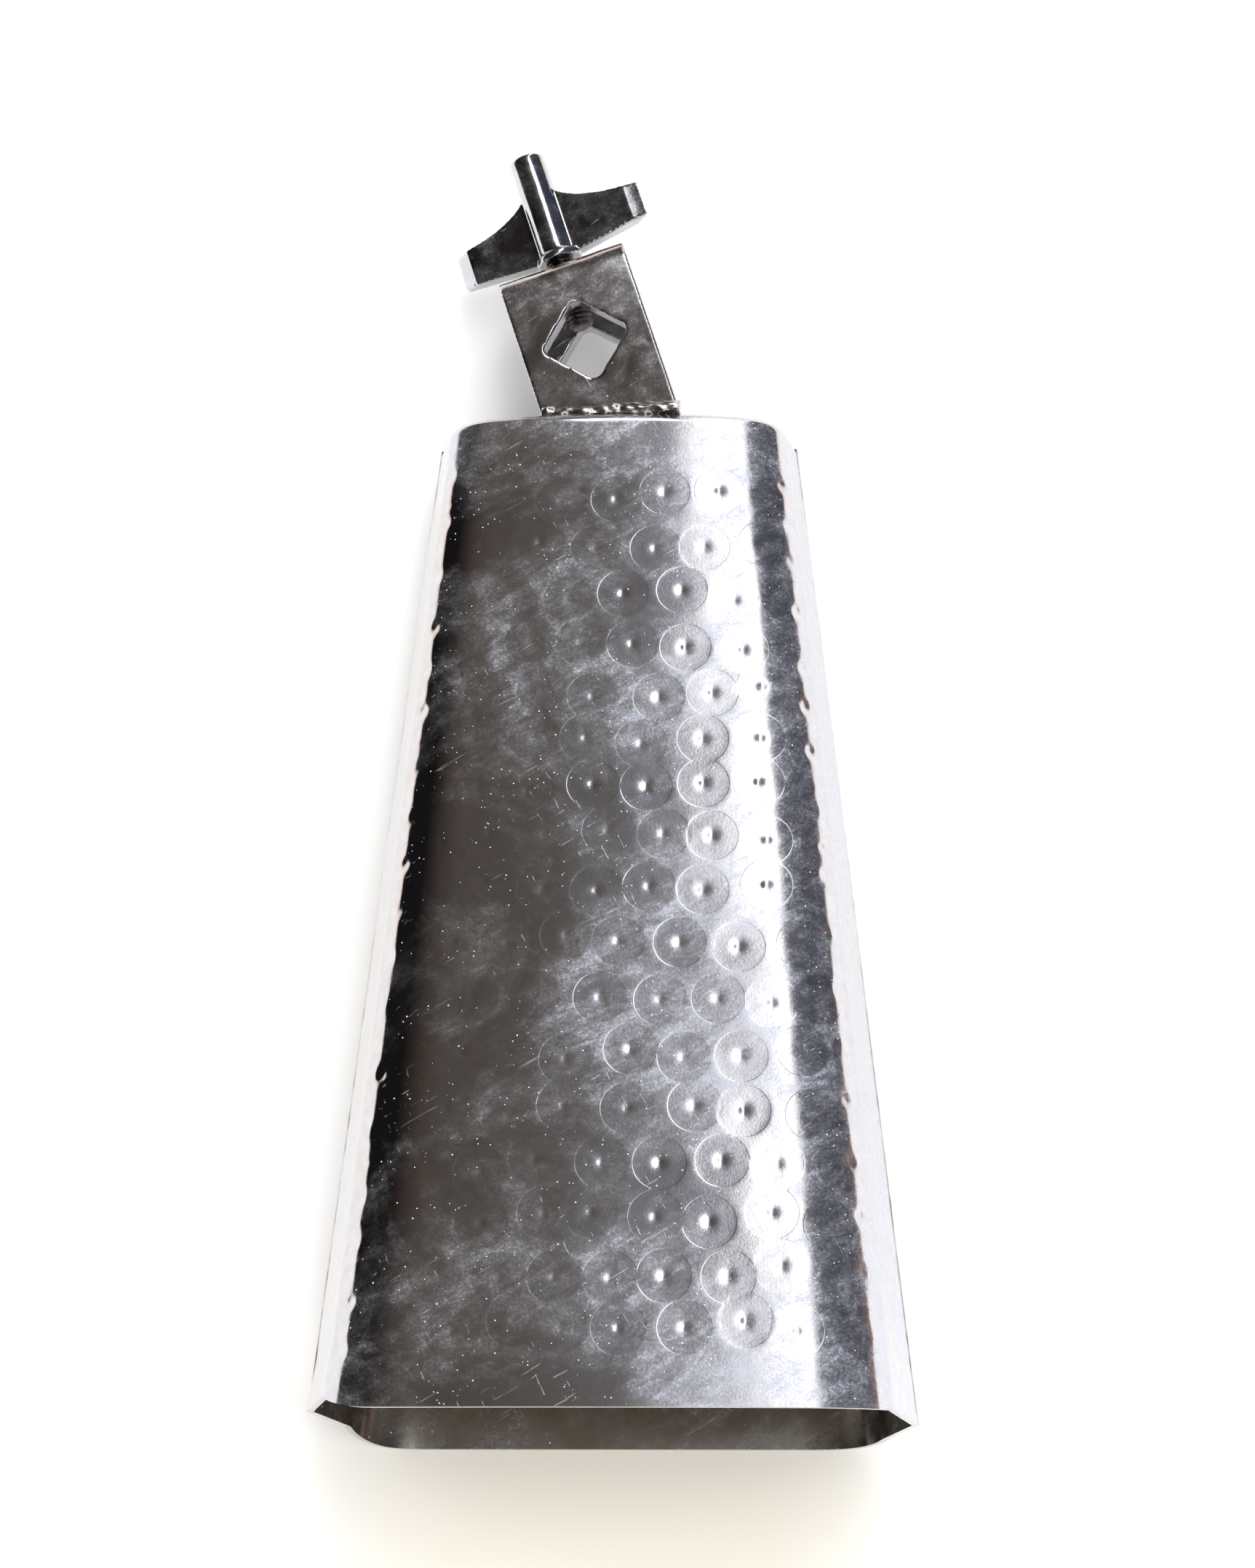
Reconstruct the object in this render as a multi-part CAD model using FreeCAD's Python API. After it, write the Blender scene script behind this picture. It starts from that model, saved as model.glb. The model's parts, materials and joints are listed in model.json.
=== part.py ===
import FreeCAD, Part
import math
import os

# A cowbell lying on its back panel: mouth towards -Y, crown and mounting bracket towards +Y.
# Millimetres. Z is up, and the origin is under the middle of the whole object's box.

Vector = FreeCAD.Vector
Rotation = FreeCAD.Rotation
Placement = FreeCAD.Placement

TOUCH = 1e-6  # closer than this counts as lying on
PARALLEL = 0.9  # cosine over which an edge counts as running along an axis

# --- Bell body: two pressed half-shells of sheet steel, welded along their seams ---
BELL_LENGTH = 203.0  # mouth plane to crown plane, along the bell's axis
MOUTH_WIDTH = 115.0  # seam to seam
CROWN_WIDTH = 73.0
MOUTH_DEPTH = 56.0  # front panel to rear panel
CROWN_DEPTH = 29.0
MOUTH_CORNER_RADIUS = 12.0  # bend between a panel and its flank, outside
CROWN_CORNER_RADIUS = 7.0
FLANK_ANGLE = math.radians(75.0)  # flank against panel
SHEET = 1.2
CROWN_EDGE_RADIUS = 2.5  # bend between the panels and the crown plate, outside
SEAM_GAP = 0.2  # root gap that the seam welds fill
REAR_FLAT_TRIM = 0.02  # taken off the rear panel, to lie dead flat

# --- Seam welds ---
SEAM_BEAD_RADIUS = 1.0
SEAM_BEAD_INSET = 0.5  # bead centre, inside the seam's outer corner

# --- Mounting bracket: a strap bent into a U, its two legs welded on the crown ---
STRAP_WIDTH = 27.0
STRAP_THICKNESS = 4.0
STRAP_GAP = 11.0  # between the two legs
STRAP_REACH = 37.5  # crown plane to the outside of the end plate
STRAP_BEND_RADIUS = 5.0  # outside
STRAP_SPARE = 12.0  # extra leg length, trimmed off against the crown
BRACKET_LEAN = math.radians(17.8)  # sideways off the bell's axis
BRACKET_TWIST = math.radians(6.0)  # about the bracket's own length
BRACKET_OFFSET = 2.5  # from the middle of the crown, to the front
ROD_HOLE_SIDE = 13.2  # square hole set cornerwise, takes rods up to 12.7 mm
ROD_HOLE_CORNER_RADIUS = 1.8
ROD_HOLE_CENTRE = 18.5  # from the crown plane, along the bracket
ROD_HOLE_TURN = 42.5  # degrees, side of the hole against the strap
FOOT_BEAD_RADIUS = 2.4
FOOT_BEAD_ROOT = 0.6  # depth that the beads melt into the crown plate

# --- Wing screw, M6 ---
STUD_RADIUS = 3.0
STUD_PLAY = 0.05  # radial clearance in the end plate, and of the shank in the handle
STUD_TIP = 24.5  # free end, from the crown plane along the bracket, as it stands
STUD_POINT = 1.0  # chamfer on the free end
SHANK_RADIUS = 2.5  # plain end, held in the handle
SHANK_LENGTH = 12.0
SHANK_END_PLAY = 0.3
HANDLE_STANDOFF = 2.6  # end plate to the handle's underside, as it stands
HUB_RADIUS = 3.8
HUB_HEIGHT = 24.4
HUB_TOP_ROUNDING = 0.8
COLLAR_RADIUS = 4.6
COLLAR_HEIGHT = 1.5
BLADE_THICKNESS = 3.2
BLADE_REACH = 20.9  # screw axis to a blade's end
BLADE_BOTTOM = 0.5  # at the hub, over the handle's underside
BLADE_END_BOTTOM = 2.2
BLADE_END_TOP = 9.8
BLADE_END_CORNER = 0.5  # chamfer of both corners of a blade's end
BLADE_ROOT_TOP = 15.8
BLADE_ROOT_OVERLAP = 0.6  # how far a blade's top runs into the hub
BLADE_HOLLOW = ((2.2, 2.2), (8.2, 4.6))  # its top's dip: reach past the hub's side, fall
WING_TURN = math.radians(8.0)  # blades against the strap's width, as they stand

BELL_TILT = math.atan2((MOUTH_DEPTH - CROWN_DEPTH) / 2, BELL_LENGTH)  # axis dips to the crown


def upper_half_section(width, depth, radius):
    """Half of a bell section in the XY plane, on the +Y side, as edges from +X to -X."""
    half = depth / 2
    sine, cosine = math.sin(FLANK_ANGLE), math.cos(FLANK_ANGLE)
    centre_x = width / 2 - (radius + cosine * (half - radius)) / sine
    centre_y = half - radius
    bend_start = Vector(centre_x + radius * sine, centre_y + radius * cosine, 0)
    bend_middle = Vector(
        centre_x + radius * math.sin(FLANK_ANGLE / 2),
        centre_y + radius * math.cos(FLANK_ANGLE / 2),
        0,
    )
    bend_end = Vector(centre_x, half, 0)
    right = [
        Part.LineSegment(Vector(width / 2, 0, 0), bend_start).toShape(),
        Part.Arc(bend_start, bend_middle, bend_end).toShape(),
    ]
    left = [edge.mirror(Vector(0, 0, 0), Vector(1, 0, 0)) for edge in right]
    panel = Part.LineSegment(bend_end, Vector(-centre_x, half, 0)).toShape()
    return right + [panel] + left


def bell_section(width, depth, radius, height):
    """Closed bell section, parallel to XY, at the given height."""
    upper = upper_half_section(width, depth, radius)
    lower = [edge.mirror(Vector(0, 0, 0), Vector(0, 1, 0)) for edge in upper]
    wire = Part.Wire(Part.__sortEdges__(upper + lower))
    wire.translate(Vector(0, 0, height))
    return wire


def bell_solid(inset, start, end):
    """Tapered solid of the bell, inset from its outside, between two heights along its axis."""
    sections = []
    for height in (start, end):
        share = height / BELL_LENGTH
        width = MOUTH_WIDTH + share * (CROWN_WIDTH - MOUTH_WIDTH)
        depth = MOUTH_DEPTH + share * (CROWN_DEPTH - MOUTH_DEPTH)
        radius = MOUTH_CORNER_RADIUS + share * (CROWN_CORNER_RADIUS - MOUTH_CORNER_RADIUS)
        flank_inset = inset / math.sin(FLANK_ANGLE)
        sections.append(
            bell_section(width - 2 * flank_inset, depth - 2 * inset, radius - inset, height)
        )
    return Part.makeLoft(sections, True, True)


def round_crown_edge(solid, height, radius):
    """Round the bend from the panels into the crown plate."""
    rim = []
    for edge in solid.Edges:
        if all(abs(vertex.Point.z - height) < TOUCH for vertex in edge.Vertexes):
            rim.append(edge)
    return solid.makeFillet(radius, rim)


def make_half_shells():
    """Front and rear half-shells, each with its own half of the crown plate. Front is on -Y."""
    outside = round_crown_edge(bell_solid(0, 0, BELL_LENGTH), BELL_LENGTH, CROWN_EDGE_RADIUS)
    plate_inside = BELL_LENGTH - SHEET
    inside = bell_solid(SHEET, -SHEET, plate_inside)
    inside = round_crown_edge(inside, plate_inside, CROWN_EDGE_RADIUS - SHEET)
    shell = outside.cut(inside)
    size = 2 * BELL_LENGTH
    front_corner = Vector(-size / 2, -size - SEAM_GAP / 2, -size / 4)
    rear_corner = Vector(-size / 2, SEAM_GAP / 2, -size / 4)
    front = shell.common(Part.makeBox(size, size, size, front_corner))
    rear = shell.common(Part.makeBox(size, size, size, rear_corner))
    return front, rear


def make_side_seam(side):
    """Weld bead down one side seam."""
    start = Vector(side * (MOUTH_WIDTH / 2 - SEAM_BEAD_INSET), 0, 0)
    end_height = BELL_LENGTH - CROWN_EDGE_RADIUS
    end = Vector(side * (CROWN_WIDTH / 2 - SEAM_BEAD_INSET), 0, end_height)
    return Part.makeCylinder(SEAM_BEAD_RADIUS, (end - start).Length, start, end - start)


def make_crown_seam():
    """Weld bead across the crown plate, between the two halves."""
    half = CROWN_WIDTH / 2 - CROWN_EDGE_RADIUS
    start = Vector(-half, 0, BELL_LENGTH - SEAM_BEAD_INSET)
    return Part.makeCylinder(SEAM_BEAD_RADIUS, 2 * half, start, Vector(1, 0, 0))


def bell_placement():
    """From the bell's own frame (axis on Z, front on -Y) to lying on its rear panel."""
    turn = Rotation(Vector(1, 0, 0), -90 - math.degrees(BELL_TILT))
    lift = MOUTH_DEPTH / 2 * math.cos(BELL_TILT)
    return Placement(Vector(0, 0, lift), turn)


def bracket_placement():
    """From the bracket's frame (X across, Y away from the crown, Z to the front) to the bell's."""
    along = Vector(-math.sin(BRACKET_LEAN), math.cos(BRACKET_LEAN), 0)
    level = Vector(math.cos(BRACKET_LEAN), math.sin(BRACKET_LEAN), 0)
    across = level * math.cos(BRACKET_TWIST) + Vector(0, 0, math.sin(BRACKET_TWIST))
    foot_centre = bell_placement().multVec(Vector(0, -BRACKET_OFFSET, BELL_LENGTH))
    return Placement(foot_centre, Rotation(across, along, across.cross(along), "XYZ"))


def under_crown(depth):
    """Everything on the bell's side of a plane the given depth below the crown's outside."""
    size = 4 * STRAP_REACH
    block = Part.makeBox(size, size, size, Vector(-size / 2, -size / 2, BELL_LENGTH - depth - size))
    block.Placement = bell_placement()
    return block


def round_strap_bends(solid, reach, radius):
    """Round the two bends at the far end of the strap."""
    bends = []
    for edge in solid.Edges:
        far = all(abs(vertex.Point.y - reach) < TOUCH for vertex in edge.Vertexes)
        if far and abs(edge.tangentAt(edge.FirstParameter).x) > PARALLEL:
            bends.append(edge)
    return solid.makeFillet(radius, bends)


def make_rod_hole(length):
    """Square prism with rounded corners, set cornerwise, through both legs."""
    side = ROD_HOLE_SIDE
    prism = Part.makeBox(side, side, 2 * length, Vector(-side / 2, -side / 2, -length))
    upright = [edge for edge in prism.Edges if abs(edge.tangentAt(0).z) > PARALLEL]
    prism = prism.makeFillet(ROD_HOLE_CORNER_RADIUS, upright)
    prism.rotate(Vector(0, 0, 0), Vector(0, 0, 1), ROD_HOLE_TURN)
    prism.translate(Vector(0, ROD_HOLE_CENTRE, 0))
    return prism


def make_strap():
    """U-shaped strap with a cornerwise square hole through both legs and a screw hole."""
    half_width = STRAP_WIDTH / 2
    outer_half = STRAP_GAP / 2 + STRAP_THICKNESS
    block = Part.makeBox(
        STRAP_WIDTH,
        STRAP_REACH + STRAP_SPARE,
        2 * outer_half,
        Vector(-half_width, -STRAP_SPARE, -outer_half),
    )
    slot = Part.makeBox(
        STRAP_WIDTH,
        STRAP_REACH + STRAP_SPARE - STRAP_THICKNESS,
        STRAP_GAP,
        Vector(-half_width, -STRAP_SPARE, -STRAP_GAP / 2),
    )
    outside = round_strap_bends(block, STRAP_REACH, STRAP_BEND_RADIUS)
    inside = round_strap_bends(
        slot, STRAP_REACH - STRAP_THICKNESS, STRAP_BEND_RADIUS - STRAP_THICKNESS
    )
    strap = outside.cut(inside).cut(make_rod_hole(2 * outer_half))
    screw_hole = Part.makeCylinder(
        STUD_RADIUS + STUD_PLAY,
        2 * STRAP_THICKNESS,
        Vector(0, STRAP_REACH - 1.5 * STRAP_THICKNESS, 0),
        Vector(0, 1, 0),
    )
    strap = strap.cut(screw_hole)
    strap.Placement = bracket_placement()
    return strap.cut(under_crown(0))


def make_foot_bead(side):
    """Weld bead along the outside of one leg's foot. side is 1 in front and -1 behind."""
    placement = bracket_placement()
    turn = placement.Rotation
    across = turn.multVec(Vector(1, 0, 0))
    along = turn.multVec(Vector(0, 1, 0))
    outward = turn.multVec(Vector(0, 0, side))
    crown_normal = bell_placement().Rotation.multVec(Vector(0, 0, 1))
    offset = STRAP_GAP / 2 + STRAP_THICKNESS
    slide = -offset * outward.dot(crown_normal) / along.dot(crown_normal)
    middle = placement.Base + outward * offset + along * slide
    direction = outward.cross(crown_normal).normalize()
    half = STRAP_WIDTH / 2 / abs(direction.dot(across))
    bead = Part.makeCylinder(
        FOOT_BEAD_RADIUS, 2 * half, middle - direction * half, direction
    )
    return bead.cut(under_crown(FOOT_BEAD_ROOT))


def screw_placement(height):
    """From a frame with the screw's axis on Z to the bracket's axis, at a height over the crown."""
    to_axis = Placement(Vector(0, height, 0), Rotation(Vector(1, 0, 0), -90))
    turned = Placement(Vector(0, 0, 0), Rotation(Vector(0, 0, 1), -math.degrees(WING_TURN)))
    return bracket_placement().multiply(to_axis).multiply(turned)


def make_stud():
    """M6 stud: thread outline with a chamfered point, and the shank inside the handle."""
    handle_foot = STRAP_REACH + HANDLE_STANDOFF
    threaded = Part.makeCylinder(STUD_RADIUS, handle_foot - STUD_TIP)
    point = [edge for edge in threaded.Edges if edge.Closed and edge.CenterOfMass.z < TOUCH]
    threaded = threaded.makeChamfer(STUD_POINT, point)
    shank = Part.makeCylinder(SHANK_RADIUS, SHANK_LENGTH, Vector(0, 0, handle_foot - STUD_TIP))
    stud = threaded.fuse(shank).removeSplitter()
    stud.Placement = screw_placement(STUD_TIP)
    return stud


def blade_outline():
    """One blade's outline in the XZ plane as edges, from the screw axis to its end."""
    corner = BLADE_END_CORNER
    root = Vector(HUB_RADIUS - BLADE_ROOT_OVERLAP, 0, BLADE_ROOT_TOP)
    hollow = [
        Vector(HUB_RADIUS + reach, 0, BLADE_ROOT_TOP - fall) for reach, fall in BLADE_HOLLOW
    ]
    top_end = Vector(BLADE_REACH - corner, 0, BLADE_END_TOP)
    corners = [
        top_end,
        Vector(BLADE_REACH, 0, BLADE_END_TOP - corner),
        Vector(BLADE_REACH, 0, BLADE_END_BOTTOM + corner),
        Vector(BLADE_REACH - corner, 0, BLADE_END_BOTTOM),
        Vector(HUB_RADIUS, 0, BLADE_BOTTOM),
        Vector(0, 0, BLADE_BOTTOM),
        Vector(0, 0, BLADE_ROOT_TOP),
        root,
    ]
    upper_edge = Part.BSplineCurve()
    upper_edge.interpolate([root] + hollow + [top_end])
    edges = [upper_edge.toShape()]
    for start, end in zip(corners, corners[1:]):
        edges.append(Part.LineSegment(start, end).toShape())
    return edges


def make_blades():
    """Both blades of the wing handle as one plate, in the XZ plane, underside at Z = 0."""
    wire = Part.Wire(Part.__sortEdges__(blade_outline()))
    blade = Part.Face(wire).extrude(Vector(0, BLADE_THICKNESS, 0))
    blade.translate(Vector(0, -BLADE_THICKNESS / 2, 0))
    return blade.fuse(blade.mirror(Vector(0, 0, 0), Vector(1, 0, 0)))


def make_wing_handle():
    """Die-cast wing handle: hub, collar and two blades, bored for the stud's shank."""
    hub = Part.makeCylinder(HUB_RADIUS, HUB_HEIGHT)
    top = [edge for edge in hub.Edges if edge.Closed and edge.CenterOfMass.z > HUB_HEIGHT / 2]
    hub = hub.makeFillet(HUB_TOP_ROUNDING, top)
    collar = Part.makeCylinder(COLLAR_RADIUS, COLLAR_HEIGHT)
    handle = hub.fuse([collar, make_blades()]).removeSplitter()
    socket = Part.makeCylinder(SHANK_RADIUS + STUD_PLAY, SHANK_LENGTH + SHANK_END_PLAY)
    handle = handle.cut(socket)
    handle.Placement = screw_placement(STRAP_REACH + HANDLE_STANDOFF)
    return handle


def make_nodes():
    """Every node's shape, by name, with the bell lying on its rear panel."""
    front_shell, rear_shell = make_half_shells()
    bell_parts = {
        "front_shell": front_shell,
        "rear_shell": rear_shell,
        "left_seam_weld": make_side_seam(-1),
        "right_seam_weld": make_side_seam(1),
        "crown_seam_weld": make_crown_seam(),
    }
    for shape in bell_parts.values():
        shape.Placement = bell_placement().multiply(shape.Placement)
    size = 2 * BELL_LENGTH
    under_corner = Vector(-size / 2, -size / 4, REAR_FLAT_TRIM - size)
    under_panel = Part.makeBox(size, size, size, under_corner)
    bell_parts["rear_shell"] = rear_shell.cut(under_panel)
    return {
        **bell_parts,
        "bracket_strap": make_strap(),
        "front_foot_weld": make_foot_bead(1),
        "rear_foot_weld": make_foot_bead(-1),
        "threaded_stud": make_stud(),
        "wing_handle": make_wing_handle(),
    }


def main():
    os.makedirs("parts", exist_ok=True)
    nodes = make_nodes()
    box = Part.makeCompound(list(nodes.values())).optimalBoundingBox(False)
    to_origin = Vector(-box.Center.x, -box.Center.y, -box.ZMin)
    for name, shape in nodes.items():
        shape.translate(to_origin)
        shape.exportStep(f"parts/{name}.step")
        print(name, "valid", shape.isValid(), "solids", len(shape.Solids), "mm3", shape.Volume)
    turn = bracket_placement().Rotation
    print("box", box.XLength, box.YLength, box.ZLength)
    print("bracket foot", tuple(bracket_placement().Base + to_origin))
    for axis_name, axis in (("across", (1, 0, 0)), ("along", (0, 1, 0)), ("front", (0, 0, 1))):
        print("bracket", axis_name, tuple(turn.multVec(Vector(*axis))))


main()
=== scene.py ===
import json
import math
import random

import bmesh
import bpy
import numpy as np
from mathutils import Matrix, Vector, noise


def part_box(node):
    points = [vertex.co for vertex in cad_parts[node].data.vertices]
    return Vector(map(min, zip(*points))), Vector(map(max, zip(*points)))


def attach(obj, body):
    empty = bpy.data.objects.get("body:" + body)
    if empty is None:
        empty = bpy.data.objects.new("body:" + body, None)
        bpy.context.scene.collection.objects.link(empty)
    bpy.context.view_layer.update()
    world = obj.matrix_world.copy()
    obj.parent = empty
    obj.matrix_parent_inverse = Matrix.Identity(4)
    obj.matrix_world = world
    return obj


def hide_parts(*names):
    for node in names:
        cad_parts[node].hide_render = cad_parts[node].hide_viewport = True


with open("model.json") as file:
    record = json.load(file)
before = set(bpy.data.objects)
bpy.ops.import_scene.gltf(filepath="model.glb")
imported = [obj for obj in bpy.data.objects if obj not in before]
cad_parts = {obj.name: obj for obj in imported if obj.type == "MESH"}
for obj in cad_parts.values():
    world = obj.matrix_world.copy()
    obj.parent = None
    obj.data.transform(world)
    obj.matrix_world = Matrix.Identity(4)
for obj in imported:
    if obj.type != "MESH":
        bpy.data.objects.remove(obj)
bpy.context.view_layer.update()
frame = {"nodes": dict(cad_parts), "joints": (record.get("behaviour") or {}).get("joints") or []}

# Everything is in metres, in the row's frame: mouth towards -Y, crown towards +Y, Z up.
MM = 0.001

# --- Bell, the same pressing front and rear ---
BELL_LENGTH = 203 * MM
MOUTH_WIDTH, CROWN_WIDTH = 115 * MM, 73 * MM
MOUTH_DEPTH, CROWN_DEPTH = 56 * MM, 29 * MM
MOUTH_RADIUS, CROWN_RADIUS = 12 * MM, 7 * MM  # bend between panel and flank
FLANK_ANGLE = math.radians(75)
SHEET = 1.2 * MM
CROWN_EDGE_RADIUS = 2.5 * MM
SEAM_GAP = 0.2 * MM
MOUTH_DOME, CROWN_DOME = 0.48 * MM, 0.60 * MM  # how far the front panel's edges fall away
CROWN_BOW = 1.8 * MM  # the crown's corners sit this much lower than its middle
CROWN_BOW_REACH = 40 * MM
BEND_EASE = 6.0  # how much wider than its radius each bend starts
BEND_EASE_ANGLE = math.radians(6)

# --- Hammer marks, all from one round tool with a centre point ---
MARK_RADIUS = 5.15 * MM
MARK_PITCH = 10.55 * MM
MARK_FIRST_ROW = 14.5 * MM  # from the mouth
MARK_CROWN_MARGIN = 17 * MM
MARK_BOWL = 0.028 * MM
MARK_STEP = 0.010 * MM
MARK_STEP_WIDTH = 0.40 * MM
MARK_POINT = 0.10 * MM
MARK_POINT_RADIUS = 1.05 * MM
SHEET_WAVE = 0.10 * MM  # slow unevenness of the hand-beaten sheet
NICK_DEPTH = 0.38 * MM  # the deeper marks that fall on the two bends
NICK_RADIUS = 1.5 * MM
NICK_ANGLES = (32, 52)  # degrees round the bend from the panel
TIP_SHORT_LEFT, TIP_SHORT_RIGHT = 3.2 * MM, 0.8 * MM  # lip's hand-cut corners fall short
TIP_SHORT_REACH = 14 * MM
DENT_FADE = (0.26, 0.75)  # dents fade out between these outward parts of the normal
NO_MARK = 3.0  # distance in radii given to points with no mark near
WAVE_SCALE = (45, 38)  # per metre, across and along
WAVE_EVERY = 6  # grid points between samples of the wave

# --- Bracket and wing screw ---
THREAD_PITCH = 1.0 * MM
THREAD_RADIUS = 3.0 * MM
THREAD_ROOT = 2.4 * MM
THREAD_LENGTH = 16.0 * MM
THREAD_FLAT = 0.12  # share of the half pitch that the root's flat takes
THREAD_FLANK = 0.70  # share of the half pitch over which the flank rises
THREAD_SIDES = 48
THREAD_STEPS_PER_PITCH = 14
LEAD_IN = 0.68  # the tip's radius, as a share of the full one
LEAD_IN_LENGTH = 1.0 * MM
TAPER_START = 17.6 * MM  # reach at which the blades start to thin
TAPER = 0.85  # share of the thickness gone at the blade's end

# --- Welds and hard edges ---
WELD_SMOOTH_STEPS = 3
SHARP_SHELL, SHARP_THREAD = 50, 40  # degrees between faces that keep a hard edge

# --- Haze and dust ---
HAZE_DRIFT = 2.6  # haze thickens towards +X, per metre
BELL_CLOUDS, SMALL_PART_CLOUDS = 26, 90  # noise scales, per metre
SPECKLE_SCALE = 1900
FINE_SCALE = 420
BLOTCH_SCALE = 230
SPECK_CELLS = 1000
SPECK_COLOUR = (0.80, 0.86, 0.90)
SCRATCH_ACROSS = 1500
GRAIN_HEIGHT = 0.02 * MM
RING_HEIGHT = 0.10 * MM

# --- Photograph's view ---
CAMERA_AT = Vector((24.2, -50.2, 691.7)) * MM  # from the middle of the mouth's lip, on the floor
CAMERA_ELEVATION = math.radians(74.93)
CAMERA_YAW = math.radians(-6.98)
CAMERA_ROLL = math.radians(-6.98)
SENSOR_HEIGHT = 36.0  # millimetres, as the camera settings take them
FOCAL_LENGTH = 80.148  # millimetres

TILT = math.atan2((MOUTH_DEPTH - CROWN_DEPTH) / 2, BELL_LENGTH)
BELL_AXIS = Vector((0, math.cos(TILT), -math.sin(TILT)))
BELL_FRONT = Vector((0, math.sin(TILT), math.cos(TILT)))
MOUTH_CENTRE = Vector(
    (
        0,
        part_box("rear_shell")[0][1] + MOUTH_DEPTH / 2 * math.sin(TILT),
        MOUTH_DEPTH / 2 * math.cos(TILT),
    )
)


def joint_named(name):
    return next(j for j in frame["joints"] if j["name"] == name)


def smoothstep(low, high, value):
    share = np.clip((value - low) / (high - low), 0, 1)
    return share * share * (3 - 2 * share)


def new_object(name, mesh, material, smooth=True):
    obj = bpy.data.objects.new(name, mesh)
    bpy.context.collection.objects.link(obj)
    mesh.materials.clear()
    mesh.materials.append(material)
    if smooth:
        mesh.polygons.foreach_set("use_smooth", [True] * len(mesh.polygons))
    return obj


# ---------------------------------------------------------------- materials



class Nodes:
    """A short way to write a material's node tree."""

    def __init__(self, name):
        self.material = bpy.data.materials.new(name)
        self.material.use_nodes = True
        self.tree = self.material.node_tree
        self.tree.nodes.clear()
        self.output = self.add("ShaderNodeOutputMaterial")
        self.shader = self.add("ShaderNodeBsdfPrincipled")
        self.link(self.shader.outputs[0], self.output.inputs["Surface"])
        self.coordinates = self.add("ShaderNodeTexCoord").outputs["Object"]

    def add(self, kind, **settings):
        node = self.tree.nodes.new(kind)
        for key, value in settings.items():
            setattr(node, key, value)
        return node

    def link(self, output, socket):
        self.tree.links.new(output, socket)

    def mapped(self, scale, turn=(0, 0, 0), move=(0, 0, 0)):
        mapping = self.add("ShaderNodeMapping")
        self.link(self.coordinates, mapping.inputs["Vector"])
        mapping.inputs["Scale"].default_value = scale
        mapping.inputs["Rotation"].default_value = turn
        mapping.inputs["Location"].default_value = move
        return mapping.outputs[0]

    def grained(self, along, across, turn, move):
        """Coordinates that stretch a pattern: its scale along a line turned from X, and across."""
        mapping = self.add("ShaderNodeMapping", vector_type="TEXTURE")
        self.link(self.coordinates, mapping.inputs["Vector"])
        mapping.inputs["Scale"].default_value = (1 / along, 1 / across, 1 / across)
        mapping.inputs["Rotation"].default_value = (0, 0, turn)
        mapping.inputs["Location"].default_value = move
        return mapping.outputs[0]

    def noise(self, vector, scale, detail=4.0, rough=0.5, distortion=0.0):
        node = self.add("ShaderNodeTexNoise")
        self.link(vector, node.inputs["Vector"])
        node.inputs["Scale"].default_value = scale
        node.inputs["Detail"].default_value = detail
        node.inputs["Roughness"].default_value = rough
        node.inputs["Distortion"].default_value = distortion
        return node.outputs["Fac"]

    def ramp(self, value, low, high, bottom=0.0, top=1.0):
        node = self.add("ShaderNodeMapRange", interpolation_type="SMOOTHSTEP")
        self.link(value, node.inputs["Value"])
        for socket, number in zip(("From Min", "From Max", "To Min", "To Max"), (low, high, bottom, top)):
            node.inputs[socket].default_value = number
        return node.outputs["Result"]

    def maths(self, operation, first, second):
        node = self.add("ShaderNodeMath", operation=operation)
        for socket, value in zip(node.inputs, (first, second)):
            if isinstance(value, (int, float)):
                socket.default_value = value
            else:
                self.link(value, socket)
        return node.outputs[0]

    def mix(self, share, first, second):
        node = self.add("ShaderNodeMix", data_type="RGBA")
        self.link(share, node.inputs["Factor"])
        for socket, value in zip((node.inputs[6], node.inputs[7]), (first, second)):
            if isinstance(value, tuple):
                socket.default_value = (*value, 1.0)
            else:
                self.link(value, socket)
        return node.outputs[2]

    def bump(self, height, strength, distance, normal=None):
        node = self.add("ShaderNodeBump")
        node.inputs["Strength"].default_value = strength
        node.inputs["Distance"].default_value = distance
        self.link(height, node.inputs["Height"])
        if normal is not None:
            self.link(normal, node.inputs["Normal"])
        return node.outputs["Normal"]


def hammer_ring(n):
    """Height of the struck ring's wall and centre pit, from the distances kept on the mesh."""
    distance = n.add("ShaderNodeAttribute", attribute_name="mark_distance").outputs["Fac"]
    force = n.add("ShaderNodeAttribute", attribute_name="mark_force").outputs["Fac"]
    wall = n.ramp(distance, 0.962, 1.0, -0.085, 0.0)
    pit = n.ramp(distance, 0.0, 0.22, -0.30, 0.0)
    return n.maths("MULTIPLY", force, n.maths("ADD", wall, pit))


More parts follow.
